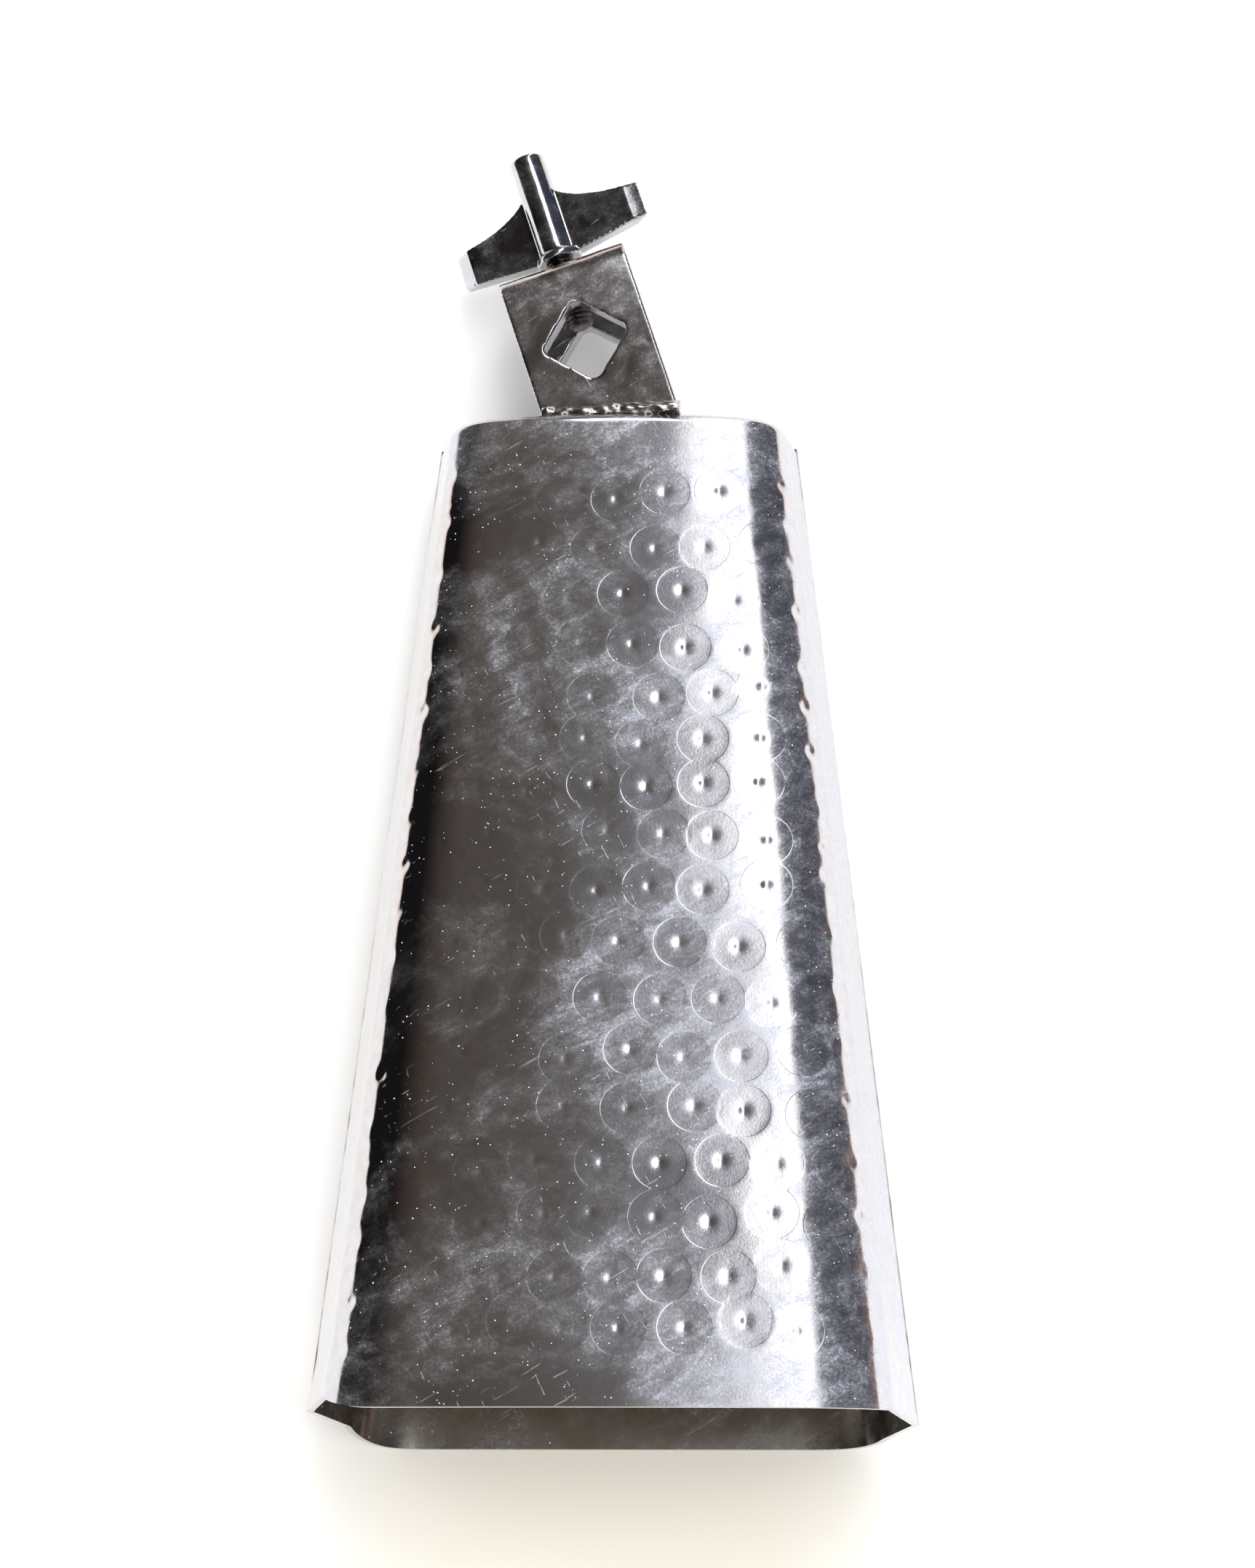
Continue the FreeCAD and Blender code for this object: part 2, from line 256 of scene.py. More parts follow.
def plated_metal(name, tint, haze_tint, rough, haze, dust, grain, seed, ringed=False):
    """Bright plating with wiped haze, fine scratches, grain and dust."""
    n = Nodes(name)
    move = (seed * 0.37, seed * 0.71, seed * 0.13)
    even = n.mapped((1, 1, 1), move=move)
    place = n.add("ShaderNodeSeparateXYZ")
    n.link(n.coordinates, place.inputs[0])
    # Haze left by fingers and wiping: broad cloud, broken up by streaks along the wipe
    drift = n.maths("MULTIPLY", place.outputs["X"], HAZE_DRIFT if ringed else 0.0)
    cloud_size = BELL_CLOUDS if ringed else SMALL_PART_CLOUDS
    cloud = n.ramp(n.maths("ADD", n.noise(even, cloud_size, 6, 0.66, 0.5), drift), 0.36, 0.62)
    streaks = n.ramp(n.noise(n.grained(60, 260, 0.5, move), 1.0, 7, 0.68, 1.2), 0.42, 0.64)
    speckle = n.ramp(n.noise(even, SPECKLE_SCALE, 3, 0.75), 0.38, 0.70)
    fine = n.noise(even, FINE_SCALE, 5, 0.65)
    blotch = n.ramp(n.noise(even, BLOTCH_SCALE, 4, 0.7), 0.35, 0.68)
    film = n.maths("MULTIPLY", cloud, n.maths("ADD", n.maths("MULTIPLY", streaks, 0.5), 0.5))
    film = n.maths("MULTIPLY", film, n.maths("ADD", n.maths("MULTIPLY", speckle, 0.6), 0.4))
    film = n.maths("MULTIPLY", film, n.maths("ADD", n.maths("MULTIPLY", blotch, 0.6), 0.5))
    if ringed:
        distance = n.add("ShaderNodeAttribute", attribute_name="mark_distance").outputs["Fac"]
        film = n.maths("MULTIPLY", film, n.ramp(distance, 0.92, 1.0, 0.62, 1.0))
    # Dust: some cells of a fine cell pattern hold a speck, more of them where dust gathers
    cells = n.add("ShaderNodeTexVoronoi")
    n.link(even, cells.inputs["Vector"])
    cells.inputs["Scale"].default_value = SPECK_CELLS
    chosen = n.add("ShaderNodeSeparateColor")
    n.link(cells.outputs["Color"], chosen.inputs[0])
    gathered = n.ramp(n.noise(even, 120, 4, 0.65), 0.42, 0.66, 0.15 * dust, 2.2 * dust)
    picked = n.maths("GREATER_THAN", n.maths("ADD", chosen.outputs[0], gathered), 1.0)
    size = n.maths("ADD", n.maths("MULTIPLY", chosen.outputs[1], 0.10), 0.05)
    speck = n.maths("MULTIPLY", picked, n.maths("LESS_THAN", cells.outputs["Distance"], size))
    # Scratches: thin crests of stretched noise, in two directions
    scratch_a = n.noise(n.grained(55, SCRATCH_ACROSS, 0.55, move), 1.0, 2, 0.5)
    scratch_b = n.noise(n.grained(90, SCRATCH_ACROSS, -1.1, move), 1.0, 2, 0.5)
    scratched = n.maths(
        "MULTIPLY",
        n.maths("ADD", n.ramp(scratch_a, 0.69, 0.72), n.ramp(scratch_b, 0.71, 0.74)),
        n.ramp(n.noise(even, 60, 2), 0.42, 0.58),
    )
    dirt = n.maths("ADD", n.maths("MULTIPLY", film, haze), n.maths("MULTIPLY", speck, 0.9))
    dirt = n.maths("ADD", dirt, n.maths("MULTIPLY", scratched, 0.2))
    n.link(n.maths("SUBTRACT", 1.0, dirt), n.shader.inputs["Metallic"])
    tone = n.mix(n.ramp(fine, 0.35, 0.65), tint, tuple(channel * 0.9 for channel in tint))
    tone = n.mix(film, tone, haze_tint)
    n.link(n.mix(speck, tone, SPECK_COLOUR), n.shader.inputs["Base Color"])
    roughness = n.maths("ADD", n.maths("MULTIPLY", film, 0.30), rough)
    roughness = n.maths("ADD", roughness, n.maths("MULTIPLY", fine, 0.05))
    n.link(roughness, n.shader.inputs["Roughness"])
    height = n.maths("ADD", n.maths("MULTIPLY", fine, 0.5), n.maths("MULTIPLY", speckle, 0.25))
    height = n.maths("SUBTRACT", height, n.maths("MULTIPLY", scratched, 0.6))
    normal = n.bump(height, grain, GRAIN_HEIGHT)
    if ringed:
        normal = n.bump(hammer_ring(n), 1.0, RING_HEIGHT, normal)
    n.link(normal, n.shader.inputs["Normal"])
    return n.material


def make_materials():
    chrome = (0.64, 0.62, 0.62)
    blue_haze = (0.57, 0.62, 0.76)
    return {
        "bell": plated_metal(
            "bell_plating", tint=chrome, haze_tint=blue_haze,
            rough=0.05, haze=0.50, dust=0.42, grain=0.35, seed=1, ringed=True,
        ),
        # Darker, warmer tint for the inside: painted shade in the bell's hollow.
        "inside": plated_metal(
            "bell_inside_painted_shade", tint=(0.37, 0.34, 0.31), haze_tint=(0.40, 0.38, 0.35),
            rough=0.13, haze=0.12, dust=0.03, grain=0.5, seed=6,
        ),
        "bracket": plated_metal(
            "bracket_plating", tint=(0.68, 0.66, 0.66), haze_tint=(0.62, 0.62, 0.66),
            rough=0.12, haze=0.15, dust=0.04, grain=0.8, seed=2,
        ),
        "handle": plated_metal(
            "handle_plating", tint=(0.62, 0.62, 0.64), haze_tint=(0.58, 0.60, 0.66),
            rough=0.06, haze=0.15, dust=0.06, grain=0.4, seed=3,
        ),
        "weld": plated_metal(
            "weld_plating", tint=(0.60, 0.57, 0.55), haze_tint=(0.50, 0.46, 0.42),
            rough=0.12, haze=0.15, dust=0.05, grain=0.8, seed=4,
        ),
        "stud": plated_metal(
            "stud_steel", tint=(0.14, 0.13, 0.12), haze_tint=(0.20, 0.19, 0.18),
            rough=0.22, haze=0.15, dust=0.02, grain=0.6, seed=5,
        ),
    }


# ---------------------------------------------------------------- bell shells

FLANK_STEPS = 10
BEND_STEPS = 26
PANEL_STEPS = 150
LENGTH_STEPS = 360
EDGE_STEPS = 7
PLATE_STEPS = 5


def section_columns():
    """Each column of the shell's grid as (part, share): flank, bend and panel, right to left."""
    right = [("flank", i / FLANK_STEPS) for i in range(FLANK_STEPS)]
    right += [("bend", i / BEND_STEPS) for i in range(BEND_STEPS)]
    panel = [("panel", 2 * i / PANEL_STEPS - 1) for i in range(PANEL_STEPS + 1)]
    left = [(part, share) for part, share in reversed(right)]
    sides = [1] * len(right) + [0] * len(panel) + [-1] * len(left)
    return right + panel + left, sides


def bend_profile():
    """Across, depth and angle along a bend of unit radius that starts gently, panel side first."""
    angles = np.linspace(0, FLANK_ANGLE, 400)
    radii = 1 + BEND_EASE * np.exp(-angles / BEND_EASE_ANGLE)
    middle = (angles[1:] + angles[:-1]) / 2
    lengths = (radii[1:] + radii[:-1]) / 2 * np.diff(angles)
    across = np.concatenate([[0], np.cumsum(lengths * np.cos(middle))])
    depth = np.concatenate([[0], np.cumsum(lengths * np.sin(middle))])
    run = np.concatenate([[0], np.cumsum(lengths)])
    scale = (1 - math.cos(FLANK_ANGLE)) / depth[-1]
    samples = np.linspace(0, run[-1], BEND_STEPS + 1)
    return [np.interp(samples, run, values) for values in (across * scale, depth * scale, angles)]


BEND_ACROSS, BEND_DEPTH, BEND_ANGLE = bend_profile()


def section_points(along, inset, dome):
    """Across, depth, across-normal, depth-normal and side of each column at one height."""
    share = along / BELL_LENGTH
    width = MOUTH_WIDTH + share * (CROWN_WIDTH - MOUTH_WIDTH) - 2 * inset / math.sin(FLANK_ANGLE)
    half = (MOUTH_DEPTH + share * (CROWN_DEPTH - MOUTH_DEPTH)) / 2 - inset
    radius = MOUTH_RADIUS + share * (CROWN_RADIUS - MOUTH_RADIUS) - inset
    sine, cosine = math.sin(FLANK_ANGLE), math.cos(FLANK_ANGLE)
    bend_across = width / 2 - (half - radius * (1 - cosine)) * cosine / sine
    bend_depth = half - radius * (1 - cosine)
    centre = bend_across - radius * BEND_ACROSS[-1]
    edge_slope = 2 * dome / centre
    fall = dome + edge_slope * (bend_across - centre) / 2
    points = []
    columns, sides = section_columns()
    for (part, t), side in zip(columns, sides):
        if part == "flank":
            depth = SEAM_GAP / 2 + t * (bend_depth - SEAM_GAP / 2)
            across = width / 2 - depth / math.tan(FLANK_ANGLE)
            points.append((side * across, depth - fall * t, side * sine, cosine))
        elif part == "bend":
            step = BEND_STEPS - round(t * BEND_STEPS)
            out = radius * BEND_ACROSS[step]
            angle = BEND_ANGLE[step]
            drop = dome + edge_slope * out * (1 - 0.5 * step / BEND_STEPS)
            depth = half - radius * BEND_DEPTH[step] - drop
            across = side * (centre + out)
            points.append((across, depth, side * math.sin(angle), math.cos(angle)))
        else:
            points.append((-t * centre, half - dome * t * t, 0.0, 1.0))
    return points


def mark_centres(seed):
    """Hammer marks as (across, along, strength, lean direction), in staggered uneven rows."""
    rng = random.Random(seed)
    marks = []
    along = MARK_FIRST_ROW
    while along < BELL_LENGTH - MARK_CROWN_MARGIN:
        share = along / BELL_LENGTH
        reach = (MOUTH_WIDTH + share * (CROWN_WIDTH - MOUTH_WIDTH)) / 2 - 2 * MM
        across = -reach + rng.uniform(0, MARK_PITCH)
        while across < reach:
            marks.append(
                (
                    across + rng.uniform(-0.9, 0.9) * MM,
                    along + rng.uniform(-1.3, 1.3) * MM,
                    rng.uniform(0.5, 1.2) * (0.7 + 0.3 * min(1, max(-1, 2 * across / reach))),
                    rng.uniform(0, 2 * math.pi),
                )
            )
            across += MARK_PITCH * rng.uniform(0.95, 1.12)
        along += MARK_PITCH * rng.uniform(0.93, 1.09)
    return marks


def dent_depth(across, along, marks):
    """Depth struck in at each grid point, distance to the nearest mark in radii, its strength."""
    depth = np.zeros_like(across)
    distance = np.full_like(across, NO_MARK)
    force = np.zeros_like(across)
    for centre, height, strength, lean in marks:
        dx, dy = across - centre, along - height
        near = (np.abs(dx) < 1.5 * MARK_RADIUS) & (np.abs(dy) < 1.5 * MARK_RADIUS)
        dx, dy = dx[near], dy[near]
        away = np.sqrt(dx * dx + dy * dy)
        uneven = 1 + 0.5 * (dx * math.cos(lean) + dy * math.sin(lean)) / MARK_RADIUS
        bowl = MARK_BOWL * np.clip(1 - (away / MARK_RADIUS) ** 2, 0, 1)
        step = MARK_STEP * 0.5 * (1 - np.tanh((away - MARK_RADIUS) / MARK_STEP_WIDTH))
        point = MARK_POINT * np.exp(-((away / MARK_POINT_RADIUS) ** 2))
        depth[near] += strength * ((bowl + step) * uneven + point)
        nearest = away / MARK_RADIUS < distance[near]
        distance[near] = np.where(nearest, away / MARK_RADIUS, distance[near])
        force[near] = np.where(nearest, strength * uneven, force[near])
    return depth, distance, force


def nick_depth(along, lean, upward, seed):
    """Deep round nicks down both bends, where the hammer met the turning sheet."""
    rng = random.Random(seed)
    depth = np.zeros_like(along)
    step = BELL_LENGTH / LENGTH_STEPS
    for side in (-1, 1):
        height = rng.uniform(10, 16) * MM
        while height < BELL_LENGTH - 8 * MM:
            row = round(height / step)
            angle = math.radians(rng.uniform(*NICK_ANGLES))
            lean_gap = lean[row] - side * math.sin(angle)
            upward_gap = upward[row] - math.cos(angle)
            column = int(np.argmin(np.hypot(lean_gap, upward_gap)))
            radius = MOUTH_RADIUS + height / BELL_LENGTH * (CROWN_RADIUS - MOUTH_RADIUS)
            turned = np.arctan2(np.abs(lean), upward) - angle
            same_side = lean * side > 0
            away = np.hypot(turned * radius, along - along[row, column])
            force = rng.uniform(0.35, 1.0)
            depth += same_side * force * NICK_DEPTH * np.exp(-((away / NICK_RADIUS) ** 2))
            height += MARK_PITCH * rng.uniform(0.8, 1.25)
    return depth


def row_heights():
    """Heights of the grid's rows up to the crown edge's bend."""
    top = BELL_LENGTH - CROWN_EDGE_RADIUS
    return [top * i / LENGTH_STEPS for i in range(LENGTH_STEPS + 1)]


def shell_grid(inset, domes, marks, sign):
    """Points of one face of a half-shell, rows from the mouth over the crown to its seam.

    Also gives each point's distance to the nearest mark, in radii, and that mark's strength."""
    rows = []
    surface_across = []
    surface_along = []
    for along in row_heights():
        share = float(smoothstep(0, BELL_LENGTH, along))
        points = np.array(section_points(along, inset, domes[0] + share * (domes[1] - domes[0])))
        steps = np.hypot(np.diff(points[:, 0]), np.diff(points[:, 1]))
        run = np.concatenate([[0], np.cumsum(steps)])
        surface_across.append(run[-1] / 2 - run)
        surface_along.append(np.full(len(points), along))
        bow = CROWN_BOW * float(smoothstep(BELL_LENGTH - CROWN_BOW_REACH, BELL_LENGTH, along))
        heights = along - bow * (2 * points[:, 0] / CROWN_WIDTH) ** 2
        short = np.where(points[:, 0] < 0, TIP_SHORT_LEFT, TIP_SHORT_RIGHT)
        lean = np.clip((1.0 - points[:, 3]) / (1 - math.cos(FLANK_ANGLE)), 0, 1)
        heights += short * lean * (1 - float(smoothstep(0, TIP_SHORT_REACH, along)))
        rows.append(np.column_stack([points[:, 0], heights, points[:, 1:4]]))
    grid = np.array(rows)
    surface_across, surface_along = np.array(surface_across), np.array(surface_along)
    depth, distance, force = dent_depth(surface_across, surface_along, marks)
    flat_share = smoothstep(*DENT_FADE, grid[:, :, 4])
    wave = sheet_wave(
        surface_across[::WAVE_EVERY, ::WAVE_EVERY], surface_along[::WAVE_EVERY, ::WAVE_EVERY], sign
    )
    depth = depth * flat_share + resample(wave, depth.shape) * SHEET_WAVE
    depth += nick_depth(surface_along, grid[:, :, 3], grid[:, :, 4], sign)
    grid[:, :, 0] -= depth * grid[:, :, 3]
    grid[:, :, 2] -= depth * grid[:, :, 4]
    body = grid[:, :, :3]
    # Over the crown edge, then in over the crown plate to the seam between the halves
    radius = CROWN_EDGE_RADIUS - inset
    last = body[-1]
    normal = grid[-1, :, 3:5]
    extra = []
    for i in range(1, EDGE_STEPS + 1):
        angle = math.pi / 2 * i / EDGE_STEPS
        inward = radius * (1 - math.cos(angle))
        ring = last.copy()
        ring[:, 0] -= inward * normal[:, 0]
        ring[:, 2] = np.maximum(ring[:, 2] - inward * normal[:, 1], SEAM_GAP / 2)
        ring[:, 1] = last[:, 1] + radius * math.sin(angle)
        extra.append(ring)
    rim = extra[-1]
    for i in range(1, PLATE_STEPS + 1):
        share = i / PLATE_STEPS
        ring = rim.copy()
        ring[:, 2] = rim[:, 2] * (1 - share) + SEAM_GAP / 2 * share
        extra.append(ring)
    plain = np.zeros((len(extra), body.shape[1]))
    return (
        np.concatenate([body, np.array(extra)]),
        np.concatenate([distance, plain + NO_MARK]),
        np.concatenate([force * flat_share, plain]),
    )


def sheet_wave(across, along, sign):
    """Slow unevenness of the sheet, from -1 to 1, different on the two halves."""
    places = zip(across.ravel() * WAVE_SCALE[0] + 7 * sign, along.ravel() * WAVE_SCALE[1])
    heights = [noise.noise(Vector((x, y, 3.1))) for x, y in places]
    return np.array(heights).reshape(across.shape)


def resample(values, shape):
    """Bilinear enlargement of a small grid."""
    rows = np.linspace(0, values.shape[0] - 1, shape[0])
    columns = np.linspace(0, values.shape[1] - 1, shape[1])
    across = np.array([np.interp(columns, np.arange(values.shape[1]), row) for row in values])
    return np.array(
        [np.interp(rows, np.arange(values.shape[0]), across[:, c]) for c in range(shape[1])]
    ).T


def to_row_frame(grid, sign):
    """Bell coordinates (across, along, depth) to the row's frame. sign is -1 for the rear half."""
    flat = grid.reshape(-1, 3)
    origin = np.array(MOUTH_CENTRE)
    return (
        origin
        + np.outer(flat[:, 0], (1, 0, 0))
        + np.outer(flat[:, 1], BELL_AXIS)
        + np.outer(flat[:, 2] * sign, BELL_FRONT)
    )


def make_half_shell(name, node, sign, seed, domes, materials):
    """One half of the bell as a closed sheet: hammered, bright outside, duller inside and darkened there
    with painted shade.
    """
    marks = mark_centres(seed)
    outer, distance, force = shell_grid(0.0, domes, marks, sign)
    inner = shell_grid(SHEET, domes, marks, sign)[0]
    rows, columns = outer.shape[:2]
    count = rows * columns
    points = np.concatenate([to_row_frame(outer, sign), to_row_frame(inner, sign)])
    corner = (np.arange(rows - 1)[:, None] * columns + np.arange(columns - 1)).ravel()
    quads = np.column_stack([corner, corner + 1, corner + columns + 1, corner + columns])
    loop = list(range(columns))
    loop += [r * columns + columns - 1 for r in range(1, rows)]
    loop += [(rows - 1) * columns + c for c in range(columns - 2, -1, -1)]
    loop += [r * columns for r in range(rows - 2, 0, -1)]
    edge = np.array(loop)
    rim = np.column_stack([edge, edge + count, np.roll(edge, -1) + count, np.roll(edge, -1)])
    faces = np.concatenate([quads, quads[:, ::-1] + count, rim])
    if sign > 0:
        faces = faces[:, ::-1]
    mesh = bpy.data.meshes.new(name)
    mesh.from_pydata(points.tolist(), [], faces.tolist())
    for label, values in (("mark_distance", distance), ("mark_force", force)):
        attribute = mesh.attributes.new(label, "FLOAT", "POINT")
        attribute.data.foreach_set("value", np.tile(values.ravel(), 2))
    obj = new_object(name, mesh, materials["bell"])
    # Inner faces take the darker inside material, which carries painted shade.
    mesh.materials.append(materials["inside"])
    inside = np.zeros(len(faces), dtype=np.int32)
    inside[len(quads) : 2 * len(quads)] = 1
    mesh.polygons.foreach_set("material_index", inside)
    mark_sharp(obj, SHARP_SHELL)
    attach(obj, "bell")
    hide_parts(node)
    return obj


def mark_sharp(obj, degrees):
    """Smooth shading with hard edges where faces meet at more than an angle."""
    obj.data.set_sharp_from_angle(angle=math.radians(degrees))


# ---------------------------------------------------------------- pieces from the CAD's own solids


def rounded_copy(
    name, node, body, material, voxel, smooth_steps, ripple, ripple_scale, shrink=0.0, shape=None
):
    """Copy of a CAD solid with worn, softened edges and a slightly uneven surface."""
    source = frame["nodes"][node]
    mesh = source.data.copy()
    mesh.transform(source.matrix_world)
    obj = new_object(name, mesh, material)
    remesh = obj.modifiers.new("even", "REMESH")
    remesh.mode = "VOXEL"
    remesh.voxel_size = voxel
    soften = obj.modifiers.new("soften", "SMOOTH")
    soften.factor = 0.5
    soften.iterations = smooth_steps
    apply_modifiers(obj)
    mesh = obj.data
    count = len(mesh.vertices)
    places, normals = np.empty(3 * count), np.empty(3 * count)
    mesh.vertices.foreach_get("co", places)
    mesh.vertices.foreach_get("normal", normals)
    places, normals = places.reshape(-1, 3), normals.reshape(-1, 3)
    lumps = np.array([noise.noise(Vector(place) * ripple_scale) for place in places])
    places += normals * (lumps[:, None] * ripple - shrink)
    if shape is not None:
        places = shape(places)
    mesh.vertices.foreach_set("co", places.ravel())
    mesh.polygons.foreach_set("use_smooth", [True] * len(mesh.polygons))
    mesh.update()
    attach(obj, body)
    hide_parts(node)
    return obj


def cut_back_tips(places):
    """End the seam beads at the lip's cut-back corners."""
    along = (places - np.array(MOUTH_CENTRE)) @ np.array(BELL_AXIS)
    short = np.where(places[:, 0] < 0, TIP_SHORT_LEFT, TIP_SHORT_RIGHT) + 0.1 * MM
    return places + np.outer(np.maximum(short - along, 0), BELL_AXIS)


def taper_blades(places):
    """Thin the last few millimetres of both blades of the wing."""
    hinge = joint_named("wing_turn")
    axis = np.array(hinge["axis"])
    away = places - np.array(hinge["pos_m"])
    away -= np.outer(away @ axis, axis)
    far = away[np.argmax((away**2).sum(1))]
    blade = far / np.linalg.norm(far)
    face = np.cross(axis, blade)
    reach = np.abs(away @ blade)
    share = np.clip((reach - TAPER_START) / (reach.max() - TAPER_START), 0, 1)
    return places - np.outer(away @ face * share * TAPER, face)


def apply_modifiers(obj):
    depsgraph = bpy.context.evaluated_depsgraph_get()
    evaluated = obj.evaluated_get(depsgraph)
    mesh = bpy.data.meshes.new_from_object(evaluated)
    materials = list(obj.data.materials)
    obj.modifiers.clear()
    obj.data = mesh
    mesh.materials.clear()
    for material in materials:
        mesh.materials.append(material)


# ---------------------------------------------------------------- thread


def make_thread(material):
    """The stud as a real thread from its point to the handle."""
    low = Vector(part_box("threaded_stud")[0])
    axis = Vector(joint_named("screw_travel")["axis"]).normalized()
    on_axis = Vector(joint_named("wing_turn")["pos_m"])
    # The box's lowest Y is the tip disc's edge, which lies below its centre by the disc's lean
    disc_lean = THREAD_RADIUS * abs(axis.x)
    tip = (low.y + disc_lean - on_axis.y) / axis.y
    side = axis.cross(Vector((0, 0, 1))).normalized()
    up = side.cross(axis)
    steps = int(THREAD_LENGTH / THREAD_PITCH * THREAD_STEPS_PER_PITCH)
    verts, faces = [], []
    for i in range(steps + 1):
        height = THREAD_LENGTH * i / steps
        for j in range(THREAD_SIDES):
            angle = 2 * math.pi * j / THREAD_SIDES
            phase = (height / THREAD_PITCH - j / THREAD_SIDES) % 1.0
            crest = 1 - abs(2 * phase - 1)
            crest = min(max((crest - THREAD_FLAT) / THREAD_FLANK, 0), 1)
            radius = THREAD_ROOT + (THREAD_RADIUS - THREAD_ROOT) * crest
            lead_in = min(1.0, LEAD_IN + (1 - LEAD_IN) * height / LEAD_IN_LENGTH)
            radius *= lead_in
            verts.append(
                on_axis
                + axis * (tip + height)
                + (side * math.cos(angle) + up * math.sin(angle)) * radius
            )
    for i in range(steps):
        for j in range(THREAD_SIDES):
            k = (j + 1) % THREAD_SIDES
            faces.append(
                (
                    i * THREAD_SIDES + j,
                    i * THREAD_SIDES + k,
                    (i + 1) * THREAD_SIDES + k,
                    (i + 1) * THREAD_SIDES + j,
                )
            )
    faces.append(tuple(range(THREAD_SIDES))[::-1])
    faces.append(tuple(steps * THREAD_SIDES + j for j in range(THREAD_SIDES)))
    mesh = bpy.data.meshes.new("stud_thread")
    mesh.from_pydata([tuple(v) for v in verts], [], faces)
    bm = bmesh.new()
    bm.from_mesh(mesh)
    bmesh.ops.recalc_face_normals(bm, faces=bm.faces)
    bm.to_mesh(mesh)
    bm.free()
    obj = new_object("stud_thread", mesh, material)
    mark_sharp(obj, SHARP_THREAD)
    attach(obj, "screw")
    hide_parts("threaded_stud")
    return obj


# ---------------------------------------------------------------- stage, lights, camera


FLOOR_HALF = 3.0
PAINTED_SHADE_BEYOND = (0.165, 0.19)  # painted shade: the floor past the wing turns a darker cream between these Y
PAINTED_SHADOW_AT = (0.0, -0.15, 0.0)  # and a painted shadow, in cream, round this spot before the mouth
PAINTED_SHADOW_RADII = (0.025, 0.085)


def make_floor():
    bm = bmesh.new()
    bmesh.ops.create_grid(bm, x_segments=2, y_segments=2, size=FLOOR_HALF)
    mesh = bpy.data.meshes.new("floor")
    bm.to_mesh(mesh)
    bm.free()
    n = Nodes("floor_paper")
    mottled = n.noise(n.mapped((1, 1, 1)), 9, 3, 0.5)
    white = n.mix(mottled, (0.93, 0.93, 0.925), (0.95, 0.95, 0.945))
    place = n.add("ShaderNodeSeparateXYZ")
    n.link(n.coordinates, place.inputs[0])
    # Painted shade: the floor past the wing darkens to a warm cream.
    shade_beyond = n.ramp(place.outputs["Y"], *PAINTED_SHADE_BEYOND)
    shadow_spot = n.add("ShaderNodeVectorMath", operation="DISTANCE")
    n.link(n.coordinates, shadow_spot.inputs[0])
    shadow_spot.inputs[1].default_value = PAINTED_SHADOW_AT
    # Painted shadow: cream round a spot before the mouth, fading out between the two radii.
    before = n.ramp(shadow_spot.outputs["Value"], *PAINTED_SHADOW_RADII, 1.0, 0.0)
    white_with_painted_shade = n.mix(before, white, (0.79, 0.755, 0.67))
    n.link(n.mix(shade_beyond, white_with_painted_shade, (0.80, 0.67, 0.59)), n.shader.inputs["Base Color"])
    n.shader.inputs["Roughness"].default_value = 0.9
    n.shader.inputs["Specular IOR Level"].default_value = 0.1
    floor = new_object("floor", mesh, n.material, smooth=False)


def area_light(name, at, width, height, power, colour=(1, 1, 1), aim=(0, 0, 0), mirrored=False):
    """A softbox that lights the bell and floor, and is mirrored in the chrome only if asked."""
    data = bpy.data.lights.new(name, "AREA")
    data.shape = "RECTANGLE"
    data.size, data.size_y = width, height
    data.energy = power
    data.color = colour
    obj = bpy.data.objects.new(name, data)
    bpy.context.collection.objects.link(obj)
    obj.location = at
    obj.rotation_euler = (Vector(aim) - Vector(at)).to_track_quat("-Z", "Y").to_euler()
    obj.visible_glossy = mirrored
    obj.visible_camera = False


# What the chrome mirrors, by how far the direction leans towards +X: (lean, colour)
ROOM = (
    (-1.0, (0.010, 0.010, 0.012)),
    (-0.55, (0.012, 0.011, 0.012)),
    (-0.38, (0.042, 0.034, 0.030)),
    (-0.20, (0.095, 0.080, 0.070)),
    (-0.08, (0.125, 0.115, 0.108)),
    (-0.03, (0.180, 0.175, 0.175)),
    (0.01, (0.270, 0.280, 0.325)),
    (0.045, (0.440, 0.465, 0.545)),
    (0.060, (1.0, 1.0, 1.0)),
    (0.165, (1.0, 1.0, 1.0)),
    (0.195, (0.085, 0.095, 0.130)),
    (0.50, (0.040, 0.046, 0.075)),
    (0.90, (0.050, 0.050, 0.075)),
    (1.0, (0.300, 0.150, 0.100)),
)
WINDOW = (0.055, 0.17)
WINDOW_GAIN = 1.6
WING_CARD_SIZE = 36 * MM  # a small card whose reflection whitens the right blade's end
WING_CARD_FROM_TIP = Vector((-8, 39, 88)) * MM


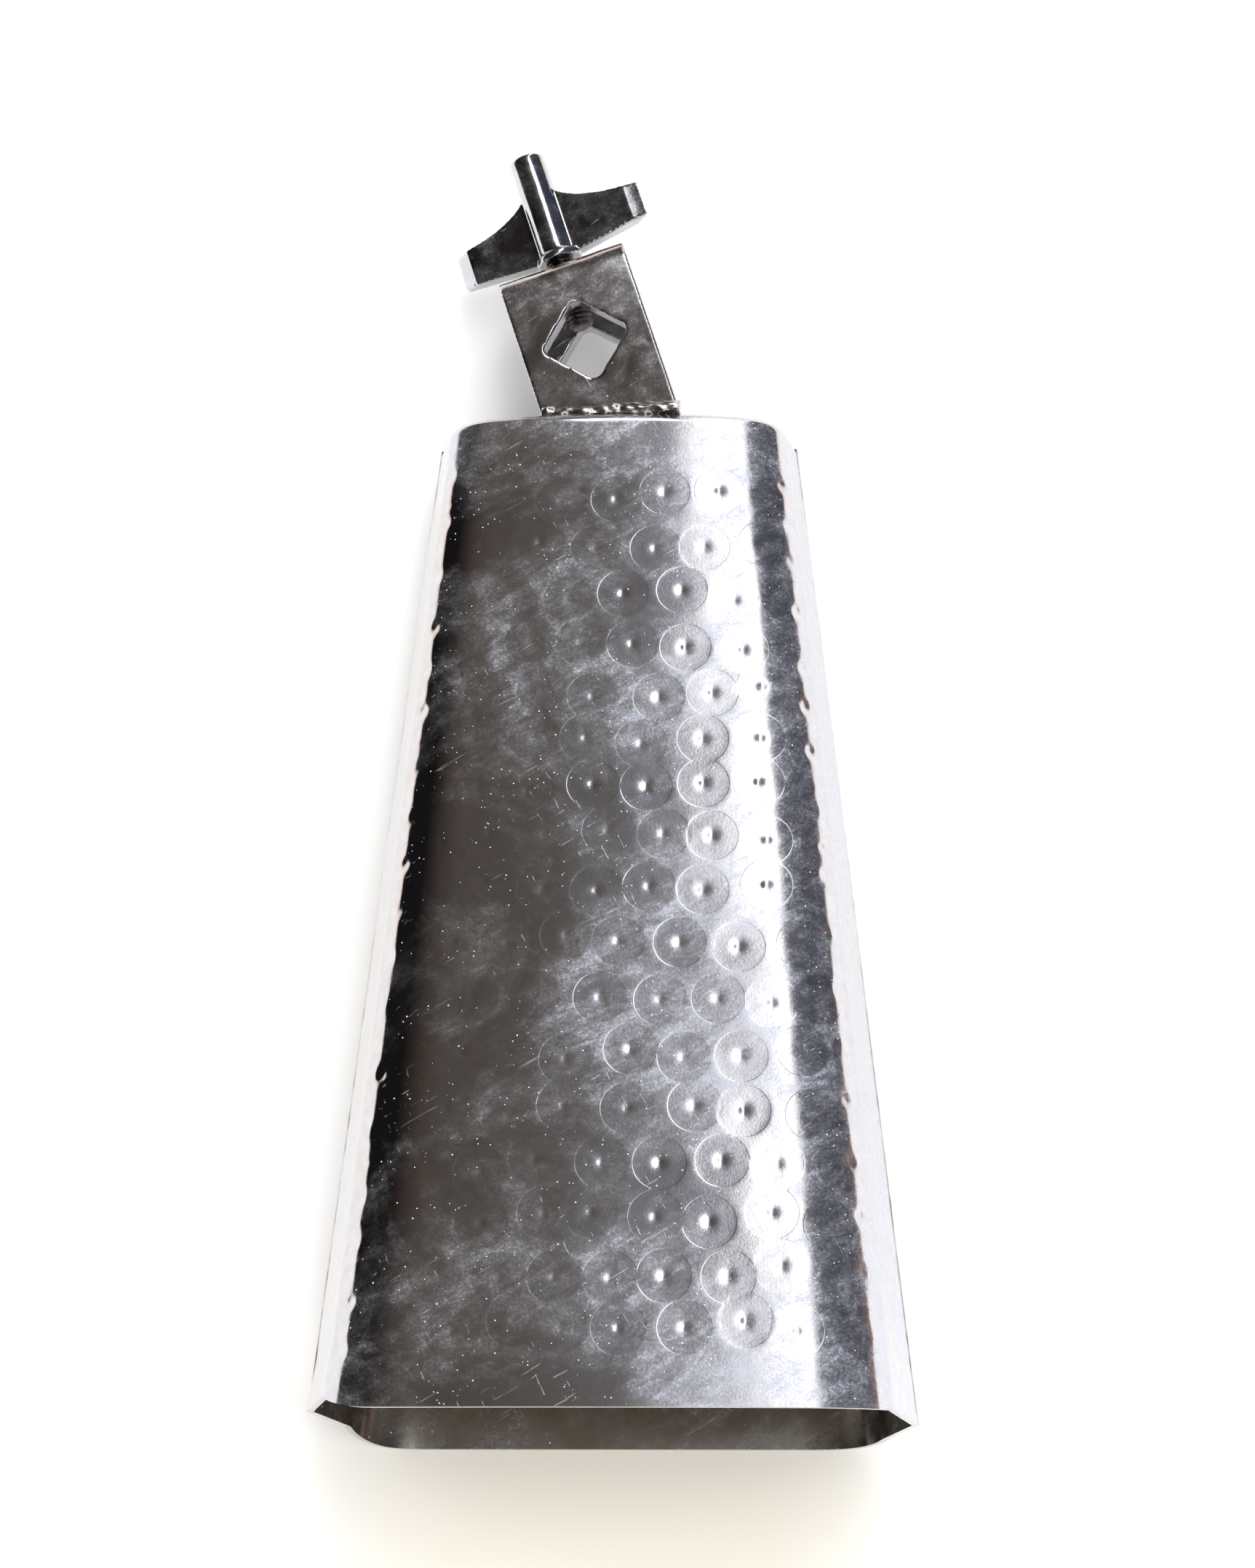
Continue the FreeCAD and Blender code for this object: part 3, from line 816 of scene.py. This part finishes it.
def make_world():
    world = bpy.data.worlds.new("studio")
    bpy.context.scene.world = world
    world.use_nodes = True
    tree = world.node_tree
    tree.nodes.clear()
    output = tree.nodes.new("ShaderNodeOutputWorld")
    background = tree.nodes.new("ShaderNodeBackground")
    direction = tree.nodes.new("ShaderNodeTexCoord")
    split = tree.nodes.new("ShaderNodeSeparateXYZ")
    spread = tree.nodes.new("ShaderNodeMapRange")
    spread.inputs["From Min"].default_value = -1
    ramp = tree.nodes.new("ShaderNodeValToRGB")
    stops = ramp.color_ramp.elements
    while len(stops) < len(ROOM):
        stops.new(0.5)
    for stop, (lean, colour) in zip(stops, ROOM):
        stop.position = (lean + 1) / 2
        stop.color = (*colour, 1)
    inside = tree.nodes.new("ShaderNodeMath")
    inside.operation = "COMPARE"
    inside.inputs[1].default_value = sum(WINDOW) / 2
    inside.inputs[2].default_value = (WINDOW[1] - WINDOW[0]) / 2
    gain = tree.nodes.new("ShaderNodeMath")
    gain.operation = "MULTIPLY_ADD"
    gain.inputs[1].default_value = WINDOW_GAIN
    gain.inputs[2].default_value = 1.0
    links = tree.links
    links.new(direction.outputs["Generated"], split.inputs[0])
    links.new(split.outputs["X"], spread.inputs["Value"])
    links.new(spread.outputs["Result"], ramp.inputs["Fac"])
    links.new(ramp.outputs["Color"], background.inputs["Color"])
    links.new(split.outputs["X"], inside.inputs[0])
    links.new(inside.outputs[0], gain.inputs[0])
    links.new(gain.outputs[0], background.inputs["Strength"])
    links.new(background.outputs[0], output.inputs["Surface"])


def make_lights():
    make_world()
    area_light("overhead", (0.5, 0.6, 1.7), 1.8, 1.8, 26)
    area_light("front_fill", (-0.4, -1.5, 1.2), 1.8, 1.2, 24, (1.0, 0.985, 0.96))
    area_light("left_fill", (-1.6, 0.3, 0.9), 1.4, 1.2, 16)
    area_light("right_fill", (1.6, -0.2, 0.8), 1.4, 1.2, 18)
    low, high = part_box("wing_handle")
    blade_tip = Vector((high[0], (low[1] + high[1]) / 2 + 4 * MM, high[2]))
    card = blade_tip + WING_CARD_FROM_TIP
    size = WING_CARD_SIZE
    area_light("wing_card", card, size, size, 0.012, (0.96, 0.98, 1.0), blade_tip, True)


def make_camera():
    view = Vector(
        (
            math.sin(CAMERA_YAW) * math.cos(CAMERA_ELEVATION),
            math.cos(CAMERA_YAW) * math.cos(CAMERA_ELEVATION),
            -math.sin(CAMERA_ELEVATION),
        )
    )
    level = Vector((math.cos(CAMERA_YAW), -math.sin(CAMERA_YAW), 0))
    upward = level.cross(view)
    right = level * math.cos(CAMERA_ROLL) + upward * math.sin(CAMERA_ROLL)
    up = upward * math.cos(CAMERA_ROLL) - level * math.sin(CAMERA_ROLL)
    data = bpy.data.cameras.new("camera")
    data.sensor_fit = "VERTICAL"
    data.sensor_height = SENSOR_HEIGHT
    data.lens = FOCAL_LENGTH
    data.clip_start = 10 * MM
    camera = bpy.data.objects.new("camera", data)
    bpy.context.collection.objects.link(camera)
    pose = Matrix.Identity(4)
    for column, direction in enumerate((right, up, -view)):
        for row in range(3):
            pose[row][column] = direction[row]
    mouth = Vector((0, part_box("rear_shell")[0][1], 0))
    camera.matrix_world = Matrix.Translation(mouth + CAMERA_AT) @ pose
    bpy.context.scene.camera = camera


def main():
    bpy.context.scene.view_settings.view_transform = "Standard"
    materials = make_materials()
    make_camera()
    make_lights()
    make_floor()
    make_half_shell("front_half", "front_shell", 1, 11, (MOUTH_DOME, CROWN_DOME), materials)
    make_half_shell("rear_half", "rear_shell", -1, 12, (0.0, 0.0), materials)
    rounded_copy(
        "mount_strap", "bracket_strap", "bell", materials["bracket"],
        voxel=0.35 * MM, smooth_steps=4, ripple=0.06 * MM, ripple_scale=260,
    )
    rounded_copy(
        "wing_grip", "wing_handle", "wing", materials["handle"],
        voxel=0.30 * MM, smooth_steps=5, ripple=0.03 * MM, ripple_scale=300, shape=taper_blades,
    )
    make_thread(materials["stud"])
    for name, node, voxel, lumps, scale, shrink, shape in (
        ("left_seam_bead", "left_seam_weld", 0.25 * MM, 0.08 * MM, 300, 0.3 * MM, cut_back_tips),
        ("right_seam_bead", "right_seam_weld", 0.25 * MM, 0.08 * MM, 300, 0.3 * MM, cut_back_tips),
        ("crown_seam_bead", "crown_seam_weld", 0.25 * MM, 0.15 * MM, 400, 0.1 * MM, None),
        ("front_foot_bead", "front_foot_weld", 0.2 * MM, 0.42 * MM, 520, 0.12 * MM, None),
        ("rear_foot_bead", "rear_foot_weld", 0.2 * MM, 0.42 * MM, 520, 0.12 * MM, None),
    ):
        rounded_copy(
            name, node, "bell", materials["weld"],
            voxel=voxel, smooth_steps=WELD_SMOOTH_STEPS, ripple=lumps, ripple_scale=scale,
            shrink=shrink, shape=shape,
        )


main()
